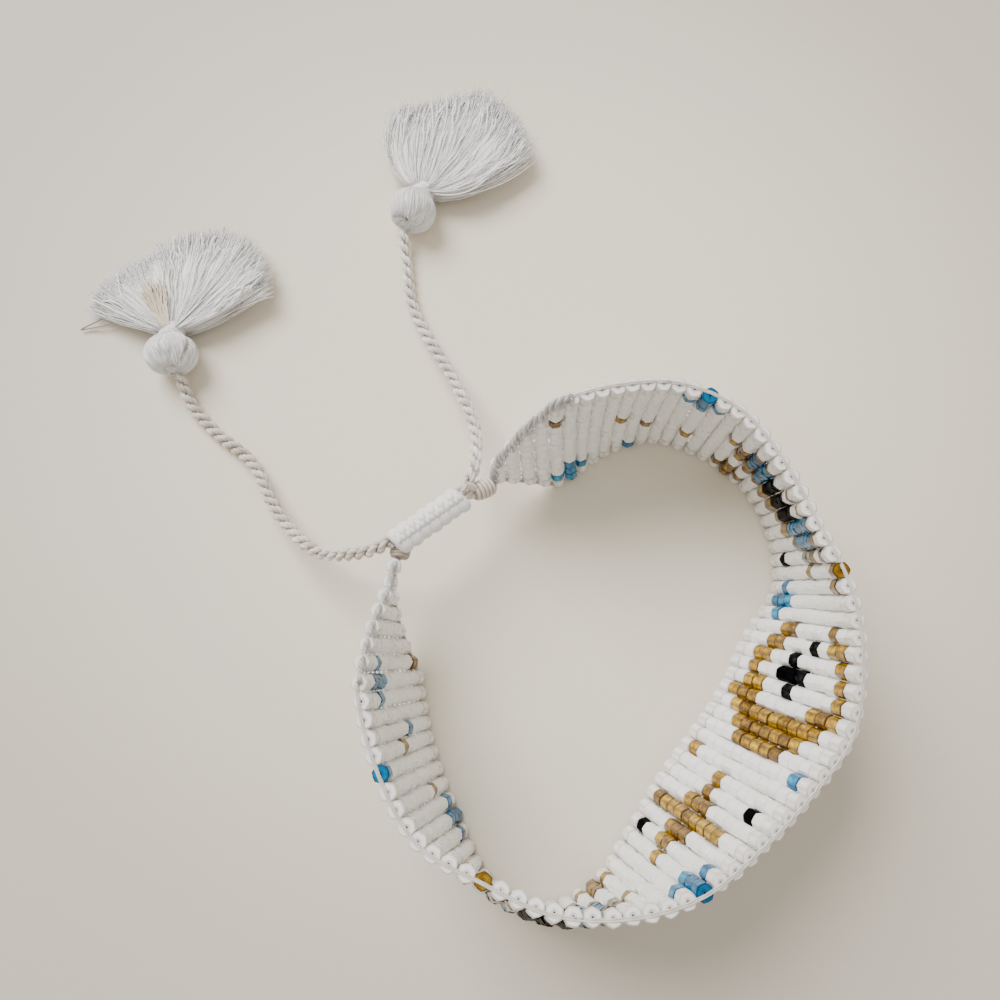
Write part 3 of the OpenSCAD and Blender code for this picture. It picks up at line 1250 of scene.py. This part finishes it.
@dataclass
class TasselHead:
    """The ball of a tassel: floss drawn smooth from the neck to a hollow where the cord goes in."""

    name: str
    centre: Point
    turn: float
    size: Point
    folds: tuple[Fold, ...]
    seed: int
    threads: int = 120
    thread: float = 0.00009
    # How far the threads turn from the cord to the neck, and how far one sways, in radians
    swirl: float = 0.35
    sway: float = 0.10
    # How far short of the cord and of the neck the ball and its threads stop, in radians
    ball_ends: tuple[float, float] = (0.06, 0.40)
    thread_ends: tuple[float, float] = (0.22, 0.36)
    # The hollow round the cord: its depth as a share of the radius, and its width in radians
    hollow: tuple[float, float] = (0.28, 0.33)
    # Painted shade on sunk floss: how much darker it is painted, how deep it has to lie, and the
    # most
    painted_crease_shade: tuple[float, float, float] = (2.4, 0.06, 0.75)
    sides: int = 72
    rings: int = 40
    # A direction that none of the threads runs along
    askew: Point = (0.31, 0.17, 0.93)

    def frame(self) -> tuple[np.ndarray, np.ndarray]:
        """The ways along the neck and to its left, in the plan."""
        a = math.radians(self.turn)
        return np.array([math.cos(a), math.sin(a), 0.0]), np.array([-math.sin(a), math.cos(a), 0.0])

    def sunk(self, phi: np.ndarray, theta: np.ndarray) -> np.ndarray:
        """How far the skin is sunk by the hollow and the folds, as a share of the ball's radius."""
        deep, wide = self.hollow
        return deep * np.exp(-((theta / wide) ** 2)) + sum(f.sunk(phi, theta) for f in self.folds)

    def surface(self, phi: np.ndarray, theta: np.ndarray, proud: float = 0.0) -> np.ndarray:
        """Points of the ball.

        Args:
            phi: how far round, in radians from the left.
            theta: how far from the cord to the neck, in radians.
            proud: how far above the ball's skin.

        Returns:
            One row for each pair of angles.
        """
        ahead, left = self.frame()
        wide, long, high = (s / 2 * (1 - self.sunk(phi, theta)) + proud for s in self.size)
        across, over = wide * np.sin(theta) * np.cos(phi), high * np.sin(theta) * np.sin(phi)
        centre = np.array(self.centre)
        return set_off(centre, left, UP, across, over) - ahead * (long * np.cos(theta))[:, None]

    def painted_shade(self, phi: np.ndarray, theta: np.ndarray) -> np.ndarray:
        """How much painted shade darkens the floss in the hollow and the folds, from 0 to 1."""
        gain, least, most = self.painted_crease_shade
        return np.clip(gain * self.sunk(phi, theta) - least, 0, most)

    def build(self) -> bpy.types.Object:
        """Makes the ball and the drawn threads on it.

        Returns:
            The piece.
        """
        rng = np.random.default_rng(self.seed)
        skin = Skin()
        phi = np.arange(self.sides) * (FULL_TURN / self.sides)
        near, short = self.ball_ends
        stops = [np.full(self.sides, t) for t in np.linspace(near, math.pi - short, self.rings)]
        ball = np.array([self.surface(phi, t) for t in stops])
        # The ball and, below, its threads are painted darker in the hollow and folds, as painted
        # shade
        skin.add(ball, tint=0.25, shade=np.array([self.painted_shade(phi, t) for t in stops]))
        near, short = self.thread_ends
        for k in range(self.threads):
            far = np.linspace(rng.uniform(near, 0.5), math.pi - short, 22)
            start = FULL_TURN * (k + rng.uniform(-0.4, 0.4)) / self.threads
            sway = rng.normal(0, self.sway)
            sway = sway * np.sin(far * rng.uniform(1, 3.5) + rng.uniform(0, 6))
            turned = start + self.swirl * np.cos(far) + sway
            line = self.surface(turned, far, rng.uniform(-0.6, 0.8) * self.thread)
            line[:, 2] = np.maximum(line[:, 2], self.thread)
            rings = tube(line, self.thread, 4, up=np.array(self.askew))
            skin.add(rings, tint=float(rng.uniform(0, 1)), shade=self.painted_shade(turned, far))
        return skin.piece(self.name + "_head", WHITE_FLOSS, "floss_white")


@dataclass
class Tassel:
    """A tassel that lies on its side: a ball of floss, a bound neck and a fan of cut strands."""

    head: TasselHead
    # Columns: the way a lock leaves the neck and the way to its tip in degrees, how far its tip
    # lies from the neck, and how high its tip lies
    skirt: tuple[tuple[float, float, float, float], ...]
    seed: int
    neck_out: float = 0.0033
    neck_z: float = 0.0021
    neck_d: float = 0.0030
    # How far to a side the outermost lock leaves the neck, as a share of its diameter
    pinch: float = 0.42
    arch: float = 0.0012
    # The thread round the neck: its radius, its turns and how much the neck narrows under it
    binding_thread: float = 0.00009
    binding_turns: int = 5
    waist: float = 0.16
    # Half the thickness of the soft mass under the strands, at the neck and at the tips
    mass: tuple[float, float] = (0.00085, 0.00048)
    tufts: int = 190
    per_tuft: int = 11
    strand: float = 0.000065
    strand_points: int = 12
    # How thick the layer of strands is at the neck and at the tips
    layer: tuple[float, float] = (0.00100, 0.00036)
    # How far a tuft's tip, then a strand's start and its tip, turn aside, in degrees
    tuft_turn: float = 1.6
    strand_turn: tuple[float, float] = (4.0, 3.2)
    # How far a tuft's and a strand's reach stray, as shares of it
    reach_stray: tuple[float, float] = (0.022, 0.035)
    # How far strands lie apart in the neck, wave with their tuft and frizz on their own
    neck_stray: float = 0.00022
    wave: float = 0.00016
    frizz: float = 0.00007
    # The thicker strands that stand apart: how many, how thick, how wavy and how high they lie
    yarns: int = 34
    yarn: float = 0.00011
    yarn_wave: float = 0.00034
    yarn_lift: float = 0.0008
    # The beige strands, if it has any: where in the skirt, how many, how thick and how high
    warm: Optional[tuple[float, float]] = None
    warm_count: int = 62
    warm_strand: float = 0.00009
    warm_lift: float = 0.0013
    # The line of a loop of stray thread, if it has one
    loop: Optional[tuple[Point, ...]] = None

    def __post_init__(self) -> None:
        """Works out what the other methods share."""
        self.name = self.head.name
        self.ahead, self.left = self.head.frame()
        self.table = np.array(self.skirt)
        self.centre = np.array(self.head.centre)
        self.root = self.centre * [1, 1, 0] + self.ahead * self.neck_out

    def spine(self, lock: np.ndarray, u: np.ndarray) -> np.ndarray:
        """The middle line of a lock.

        Args:
            lock: its row of the skirt's table.
            u: places from 0 at the neck to 1 at the tip.

        Returns:
            How far along, to the left and up, one row for each place.
        """
        leave, tip, reach, tip_z = lock
        a = reach / 2 * np.array([math.cos(math.radians(leave)), math.sin(math.radians(leave))])
        b = reach * np.array([math.cos(math.radians(tip)), math.sin(math.radians(tip))])
        flat = (2 * u * (1 - u))[:, None] * a + (u**2)[:, None] * b
        z = self.neck_z * (1 - u) + tip_z * u + self.arch * u * (1 - u)
        return np.column_stack([flat, z])

    def laid(self, local: np.ndarray, least: float) -> np.ndarray:
        """Points given along, to the left and up from the neck, in the part's frame."""
        z = np.maximum(local[:, 2], least)
        return set_off(self.root + local[:, :1] * self.ahead, self.left, UP, local[:, 1], z)

    def squeeze(self, place: float) -> float:
        """How far to the left of the neck's middle a lock leaves it, by its place in the skirt."""
        return self.neck_d * self.pinch * (1 - 2 * place / (len(self.table) - 1))

    def binding(self) -> bpy.types.Object:
        """Makes the waist of the floss and the thread that is wound round it.

        Returns:
            The piece.
        """
        near, far = self.head.size[1] / 2 - 0.0003, self.neck_out + 0.0002
        drop = (self.neck_z - self.centre[2]) * UP
        s = np.linspace(0, 1, self.binding_turns * 24 + 1)
        angle = FULL_TURN * self.binding_turns * s
        along = near + 0.0002 + s * (far - near - 0.0003)
        middle = self.centre + self.ahead * along[:, None] + s[:, None] * drop
        radius = self.neck_d / 2 * (1.02 - self.waist * np.sin(math.pi * s))
        wide, high = radius * np.cos(angle), radius * 0.9 * np.sin(angle)
        path = set_off(middle, self.left, UP, wide, high)
        skin = Skin()
        skin.add(tube(path, self.binding_thread, 6, up=self.ahead), tint=0.3)
        u = np.linspace(0, 1, 10)
        core = self.centre + self.ahead * (near + u * (far - near))[:, None] + u[:, None] * drop
        radius = self.neck_d / 2 * (1 - self.waist * np.sin(math.pi * u))
        # The waist's core under the wound thread gets a little painted shade
        skin.add(tube(core, radius, 28), tint=0.4, shade=0.15)
        return skin.piece(self.name + "_binding", WHITE_FLOSS, "floss_white")

    def under(self) -> np.ndarray:
        """The soft mass of floss under the loose strands.

        Returns:
            Its rings, from the neck out.
        """
        places = np.linspace(0, len(self.table) - 1, 44)
        u = np.linspace(0, 1, 12)
        tops, lows = [], []
        for k, s in enumerate(places):
            lock = bent(self.table, s)
            # It ends a little short of the strands, along an uneven line
            lock[2] *= 0.93 + 0.025 * math.sin(2.3 * k) * math.sin(0.7 * k)
            line = self.spine(lock, u)
            line[:, 1] += self.squeeze(s) * (1 - u) * 0.9
            thick = self.mass[0] * (1 - u) + self.mass[1] * u * (1 - u**8)
            tops.append(self.laid(line + np.outer(thick, [0, 0, 1.0]), 0.00006))
            lows.append(self.laid(line - np.outer(thick, [0, 0, 1.0]), 0.00003))
        return np.concatenate([np.array(tops), np.array(lows)[::-1]]).transpose(1, 0, 2)

    def strands(self, skin: Skin, rng: np.random.Generator) -> None:
        """Adds the fine strands, in tufts that bend together.

        Args:
            skin: what they are added to.
            rng: the source of random numbers.
        """
        last = len(self.table) - 1
        u = np.linspace(0, 1, self.strand_points)
        for k in range(self.tufts):
            s = last * (k * GOLDEN_STEP % 1)
            tuft = bent(self.table, s) + [0, rng.normal(0, self.tuft_turn), 0, 0]
            tuft[2] *= 1 + self.reach_stray[0] * rng.normal()
            layer = rng.uniform(-1, 1)
            wave = rng.normal(0, self.wave, 2)
            rate, phase = rng.uniform(1.5, 4.0), any_phase(rng)
            for _ in range(self.per_tuft):
                lock = tuft + [*rng.normal(0, self.strand_turn), 0, 0]
                lock[2] *= 1 + self.reach_stray[1] * rng.normal()
                line = self.spine(lock, u)
                line[:, 1] += (self.squeeze(s) + rng.normal(0, self.neck_stray)) * (1 - u)
                curl = np.sin(rate * math.pi * u + phase)
                frizz = rng.normal(0, self.frizz)
                frizz = frizz * np.sin(rng.uniform(9, 22) * u + any_phase(rng))
                line[:, 1] += (wave[0] * curl + frizz) * u
                spread = self.layer[0] * (1 - u) + self.layer[1] * u
                line[:, 2] += (layer * 0.8 + rng.normal(0, 0.25)) * spread + wave[1] * curl * u
                thin = self.strand * (1 - 0.3 * u**6)
                skin.add(tube(self.laid(line, self.strand), thin, 3), tint=float(rng.uniform(0, 1)))

    def loose(self, skin: Skin, rng: np.random.Generator) -> None:
        """Adds the thicker strands that stand apart, most of them near the fan's two sides.

        Args:
            skin: what they are added to.
            rng: the source of random numbers.
        """
        last = len(self.table) - 1
        u = np.linspace(0, 1, 18)
        for _ in range(self.yarns):
            s = last * rng.beta(0.8, 0.45)
            lock = bent(self.table, s) + [rng.normal(0, 9), rng.normal(0, 4), 0, 0]
            lock[2] *= rng.uniform(0.80, 1.02)
            line = self.spine(lock, u)
            bend = rng.uniform(2.0, 6.0) * math.pi * u + any_phase(rng)
            line[:, 1] += self.squeeze(s) * (1 - u) + self.yarn_wave * np.sin(bend) * u
            line[:, 2] += self.yarn_lift * (1 + u * (np.cos(bend) + rng.uniform(-1, 0.5)) / 2)
            rings = tube(self.laid(line, self.yarn), self.yarn, 6)
            skin.add(rings, tint=float(rng.uniform(0.5, 1)))

    def fan(self) -> bpy.types.Object:
        """Makes the cut strands that fan out of the neck.

        Returns:
            The piece.
        """
        rng = np.random.default_rng(self.seed + 100)
        skin = Skin()
        # The soft mass under the strands gets a little painted shade
        skin.add(self.under(), tint=0.5, shade=0.06)
        self.strands(skin, rng)
        self.loose(skin, rng)
        return skin.piece(self.name + "_fan", WHITE_FLOSS, "floss_white")

    def warm_strands(self) -> bpy.types.Object:
        """Makes the beige strands that show where the fan parts near the neck.

        Returns:
            The piece.
        """
        rng = np.random.default_rng(self.seed + 200)
        skin = Skin()
        u = np.linspace(0, 1, 14)
        for _ in range(self.warm_count):
            aside = rng.uniform(-1, 1)
            s = self.warm[0] + (1 + aside) / 2 * (self.warm[1] - self.warm[0])
            lock = bent(self.table, s) + [0, rng.normal(0, 2.0), 0, 0]
            line = self.spine(lock, u * (rng.uniform(0.48, 0.72) - 0.20 * aside**2))
            line[:, 1] += self.squeeze(s) * (1 - u) + 0.00012 * np.sin(9 * u + any_phase(rng))
            line[:, 2] += self.warm_lift * (1 - 0.5 * u**2) + rng.normal(0, 0.0002) * u
            rings = tube(self.laid(line, self.strand), self.warm_strand, 5)
            skin.add(rings, tint=float(rng.uniform(0, 1)))
        return skin.piece(self.name + "_warm_strands", BEIGE_FLOSS, "floss_white")

    def stray_loop(self) -> bpy.types.Object:
        """Makes the stiff little loop of thread that sticks out of the fan's side.

        Returns:
            The piece.
        """
        skin = Skin()
        skin.add(tube(smooth_line(self.loop, 8), 0.00011, 6))
        return skin.piece(self.name + "_stray_loop", DARK_LOOP, "floss_white")

    def build(self) -> list[bpy.types.Object]:
        """Makes the tassel.

        Returns:
            Its pieces.
        """
        pieces = [self.head.build(), self.binding(), self.fan()]
        if self.warm:
            pieces.append(self.warm_strands())
        if self.loop:
            pieces.append(self.stray_loop())
        for piece in pieces:
            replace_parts(piece, self.name)
        return pieces


@dataclass
class SlidingKnot:
    """A row of square knots that slides on the strands inside it."""

    start: Point = (-0.0215, 0.01090, 0.01045)
    end: Point = (-0.01455, 0.01620, 0.0097)
    width: float = 0.0034
    height: float = 0.0022
    knots: int = 7
    strand: float = 0.00068
    ridge: float = 0.00028
    ridge_shift: float = 0.00022
    lean: float = 0.00022
    # A bar's thickness along the row and across it, as shares of its strand
    flatness: tuple[float, float] = (0.86, 1.18)
    # Where a bar starts and ends round the row, in radians
    bar_ends: tuple[float, float] = (-0.6 * math.pi, 1.45 * math.pi)
    sides: int = 12

    def build(self) -> bpy.types.Object:
        """Makes the bars of the knots, the loops along their ridge and the strands inside.

        Returns:
            The piece.
        """
        a, b = np.array(self.start), np.array(self.end)
        axis, side, top = run_frame(a, b)
        pitch = float(np.linalg.norm(b - a)) / self.knots
        wide = self.width / 2 - self.strand
        high = self.height / 2 - self.strand
        skin = Skin()
        flat, deep = self.flatness
        round_bar = np.arange(self.sides) * (FULL_TURN / self.sides)
        section = 1 / np.hypot(np.cos(round_bar) / flat, np.sin(round_bar) / deep)
        angle = np.linspace(*self.bar_ends, 40)
        for k in range(self.knots):
            plump = 1 + 0.05 * math.sin(2.4 * k)
            along = (k + 0.5) * pitch - self.lean * np.cos(angle)
            middle = a + axis * along[:, None]
            bar = set_off(middle, side, top, wide * plump * np.cos(angle), high * np.sin(angle))
            rings = tube(bar, self.strand, self.sides, up=axis, section=section)
            skin.add(rings, tint=0.3 + 0.1 * (k % 3))
        along = np.linspace(0.25 * pitch, (self.knots - 0.25) * pitch, self.knots * 20)
        turned = FULL_TURN * along / pitch
        for sign in (1.0, -1.0):
            aside = self.ridge_shift + sign * 0.50 * wide * np.sin(turned)
            over = flat * self.strand
            crown = (high + over) * np.sqrt(1 - (aside / (wide + over)) ** 2)
            weave = 0.35 * sign * np.sin(2 * turned) - 0.1 - 0.45 * np.abs(np.sin(turned))
            crown += self.ridge * weave
            loops = set_off(a + axis * along[:, None], side, top, aside, crown)
            skin.add(tube(loops, self.ridge, 8), tint=0.8)
        # A core among the bars, painted darker as shade where it shows between them
        skin.add(tube(np.linspace(a, b, 24), high + 0.3 * self.strand, 14), tint=0.3, shade=0.4)
        piece = skin.piece("slide_knot_sinnet", WHITE_CORD, "cord_white")
        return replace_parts(piece, "slide_knot")


@dataclass
class Winding:
    """Thread wound tightly round a short core, as a tie or a knot."""

    node: str
    start: Point
    end: Point
    diameter: float
    thread: float
    turns: int
    finish: Finish
    slot: str
    # How thick it is at its two ends, as a share of its middle
    dome: float = 0.5
    per_turn: int = 20

    def build(self) -> bpy.types.Object:
        """Makes the winding and its core.

        Returns:
            The piece.
        """
        a, b = np.array(self.start), np.array(self.end)
        axis, side, top = run_frame(a, b)
        s = np.linspace(0, 1, self.turns * self.per_turn + 1)
        swell = self.dome + (1 - self.dome) * np.sqrt(np.maximum(0, 1 - np.abs(2 * s - 1) ** 3))
        radius = (self.diameter / 2 - self.thread) * swell
        angle = FULL_TURN * self.turns * s
        inner = a + axis * self.thread
        span = (b - a) - 2 * axis * self.thread
        middle = inner + span * s[:, None]
        path = set_off(middle, side, top, radius * np.cos(angle), radius * np.sin(angle))
        skin = Skin()
        skin.add(tube(path, self.thread, 8, up=axis))
        # A core painted dark, as painted shade between the turns of the thread
        thick = radius[::5] + 0.3 * self.thread
        skin.add(tube(np.linspace(a, b, len(thick)), thick, 14), tint=0.2, shade=0.9)
        piece = skin.piece(self.node + "_thread", self.finish, self.slot)
        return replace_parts(piece, self.node)


@dataclass
class EndStrand:
    """The short strands between the two knots, and the turn round the right cord's foot."""

    start: Point = (-0.0148, 0.0161, 0.0095)
    end: Point = (-0.0131, 0.0171, 0.0086)
    strand: float = 0.00034
    lay: float = 0.0042
    foot: tuple[Point, ...] = (
        (-0.0152, 0.0171, 0.0099), (-0.0145, 0.0174, 0.0101),
        (-0.0138, 0.0175, 0.0098), (-0.0132, 0.0174, 0.0092),
    )

    def build(self) -> bpy.types.Object:
        """Makes the strands.

        Returns:
            The piece.
        """
        path = np.linspace(self.start, self.end, 24)
        skin = Skin()
        for k, line in enumerate(plied(path, 2, 0.8 * self.strand, self.lay)):
            skin.add(tube(line, self.strand, 12), tint=0.3 + 0.4 * k)
        skin.add(tube(smooth_line(self.foot, 8), 1.2 * self.strand, 12), tint=0.6)
        piece = skin.piece("end_strand_twist", CREAM_TIE, "thread_cream")
        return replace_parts(piece, "end_strand")


@dataclass
class Camera:
    """The camera of the photograph: almost straight above the bracelet, and close to it."""

    place: Point = (-0.0104, -0.0070, 0.09379)
    tilt: float = 15.24
    lens: float = 28.8
    sensor: float = 36.0

    def build(self) -> None:
        """Makes the camera."""
        data = bpy.data.cameras.new("camera")
        data.lens, data.sensor_width = self.lens, self.sensor
        data.clip_start, data.clip_end = 0.002, 10.0
        made = bpy.data.objects.new("camera", data)
        made.location = self.place
        made.rotation_euler = (math.radians(self.tilt), 0.0, 0.0)
        bpy.context.scene.collection.objects.link(made)
        bpy.context.scene.camera = made


@dataclass
class Softbox:
    """A soft lamp that faces the bracelet."""

    name: str
    place: Point
    size: float
    power: float
    colour: Colour = (1.0, 1.0, 1.0)

    def build(self) -> None:
        """Makes the lamp."""
        data = bpy.data.lights.new(self.name, "AREA")
        data.shape = "DISK"
        data.size, data.energy, data.color = self.size, self.power, self.colour
        made = bpy.data.objects.new(self.name, data)
        made.location = self.place
        made.rotation_mode = "QUATERNION"
        made.rotation_quaternion = Vector(self.place).to_track_quat("Z", "Y")
        bpy.context.scene.collection.objects.link(made)


@dataclass
class Room:
    """The pale surface and the soft daylight round it."""

    reach: float = 0.9
    daylight: float = 0.76
    air: Colour = (1.0, 0.93, 0.83)
    lamps: tuple[Softbox, ...] = (
        Softbox("window", (-0.62, 0.78, 0.98), 0.95, 30.0, (1.0, 0.99, 0.97)),
    )

    def build(self) -> None:
        """Makes the surface, the lamps and the daylight."""
        mesh = bpy.data.meshes.new("surface")
        r = self.reach
        mesh.from_pydata([(-r, -r, 0), (r, -r, 0), (r, r, 0), (-r, r, 0)], [], [(0, 1, 2, 3)])
        surface = bpy.data.objects.new("surface", mesh)
        bpy.context.scene.collection.objects.link(surface)
        surface.data.materials.append(CARD.material())
        world = bpy.context.scene.world or bpy.data.worlds.new("daylight")
        bpy.context.scene.world = world
        world.use_nodes = True
        back = world.node_tree.nodes["Background"]
        back.inputs["Color"].default_value = (*self.air, 1.0)
        back.inputs["Strength"].default_value = self.daylight
        for lamp in self.lamps:
            lamp.build()


LEFT_ROUTE = (
    (-0.0221, 0.01125, 0.0103), (-0.0236, 0.0106, 0.0096), (-0.0254, 0.0103, 0.0087),
    (-0.0274, 0.0103, 0.0075), (-0.0293, 0.0106, 0.0062), (-0.0310, 0.0111, 0.0052),
    (-0.0328, 0.0123, 0.0044), (-0.0346, 0.0140, 0.0035), (-0.0363, 0.0160, 0.0028),
    (-0.0378, 0.0182, 0.0021), (-0.0390, 0.0205, 0.0016), (-0.0403, 0.0226, 0.0012),
    (-0.0421, 0.0244, 0.0009), (-0.0444, 0.0261, 0.0008), (-0.0466, 0.0281, 0.0008),
    (-0.0487, 0.0305, 0.0011), (-0.0502, 0.0340, 0.0019),
)
RIGHT_ROUTE = (
    (-0.0148, 0.0170, 0.0100), (-0.0139, 0.0182, 0.0095), (-0.0133, 0.0201, 0.0087),
    (-0.0131, 0.0222, 0.0079), (-0.0132, 0.0244, 0.0070), (-0.0137, 0.0268, 0.0060),
    (-0.0145, 0.0291, 0.0050), (-0.0155, 0.0315, 0.0040), (-0.0166, 0.0340, 0.0030),
    (-0.0179, 0.0364, 0.0022), (-0.0192, 0.0388, 0.0016), (-0.0205, 0.0413, 0.0012),
    (-0.0215, 0.0438, 0.0009), (-0.0221, 0.0463, 0.0008), (-0.0224, 0.0490, 0.0009),
    (-0.0228, 0.0519, 0.0013), (-0.0230, 0.0543, 0.0019),
)
LEFT_SKIRT = (
    (70, 61, 0.0118, 0.0009), (44, 45, 0.0126, 0.0009), (14, 21, 0.0122, 0.0010),
    (-14, -8, 0.0143, 0.0012), (-44, -35, 0.0154, 0.0018), (-80, -68, 0.0129, 0.0026),
)
RIGHT_SKIRT = (
    (78, 39, 0.0144, 0.0009), (38, 25, 0.0145, 0.0009), (12, 12, 0.0157, 0.0010),
    (-14, -2, 0.0178, 0.0012), (-42, -20, 0.0168, 0.0018), (-76, -43, 0.0148, 0.0026),
)
LEFT_FOLDS = (
    Fold(148, 92, 5, 50, 0.22, slant=0.30), Fold(92, 62, 22, 16, 0.09),
    Fold(95, 22, 60, 9, 0.16), Fold(66, 84, 4, 34, 0.05, slant=0.3),
    Fold(84, 74, 3, 30, 0.04), Fold(106, 60, 4, 34, 0.05, slant=0.2),
)
RIGHT_FOLDS = (
    Fold(58, 33, 36, 6, 0.20, slant=0.4), Fold(104, 28, 26, 6, 0.18),
    Fold(128, 62, 6, 26, 0.05, slant=0.5), Fold(112, 126, 34, 5, 0.07),
    Fold(40, 60, 5, 30, 0.04),
)
STRAY_LOOP = (
    (-0.0590, 0.0433, 0.0012), (-0.0612, 0.0425, 0.0009), (-0.0627, 0.0418, 0.0007),
    (-0.0640, 0.0412, 0.0005), (-0.0640, 0.0411, 0.0004), (-0.0628, 0.0413, 0.0005),
    (-0.0612, 0.0415, 0.0008), (-0.0590, 0.0420, 0.0011),
)


def main() -> None:
    """Builds the camera, the cords and then the rest of the bracelet."""
    logging.basicConfig(level=logging.INFO, format="%(name)s %(message)s")
    Camera().build()
    left = TwistedCord("left_cord", LEFT_ROUTE, BEIGE_CORD, "cord_beige", 0.0028)
    right = TwistedCord("right_cord", RIGHT_ROUTE, CREAM_CORD, "cord_cream", 0.0032)
    cords = [(cord, cord.build()) for cord in (left, right)]
    left_head = TasselHead(
        "left_tassel", (-0.0512, 0.03655, 0.0028), 97, (0.0062, 0.0052, 0.0056),
        LEFT_FOLDS, seed=1,
    )
    right_head = TasselHead(
        "right_tassel", (-0.02185, 0.05705, 0.0028), 67, (0.0060, 0.0056, 0.0056),
        RIGHT_FOLDS, seed=2,
    )
    tassels = (
        Tassel(left_head, LEFT_SKIRT, seed=1, warm=(1.30, 2.40), loop=STRAY_LOOP),
        Tassel(right_head, RIGHT_SKIRT, seed=2),
    )
    for (cord, piece), tassel in zip(cords, tassels):
        cord.declare(piece, tassel.build())
    Band().build()
    SlidingKnot().build()
    Winding(
        "left_tie", (-0.0213, 0.00965, 0.0088), (-0.0210, 0.01150, 0.0088), 0.0023, 0.00016, 5,
        BEIGE_TIE, "thread_beige", dome=0.85,
    ).build()
    Winding(
        "end_knot", (-0.01345, 0.01695, 0.0087), (-0.0111, 0.0182, 0.0076), 0.0023, 0.00020, 5,
        CREAM_TIE, "thread_cream", dome=0.55,
    ).build()
    EndStrand().build()
    Room().build()


if __name__ == "__main__":
    main()
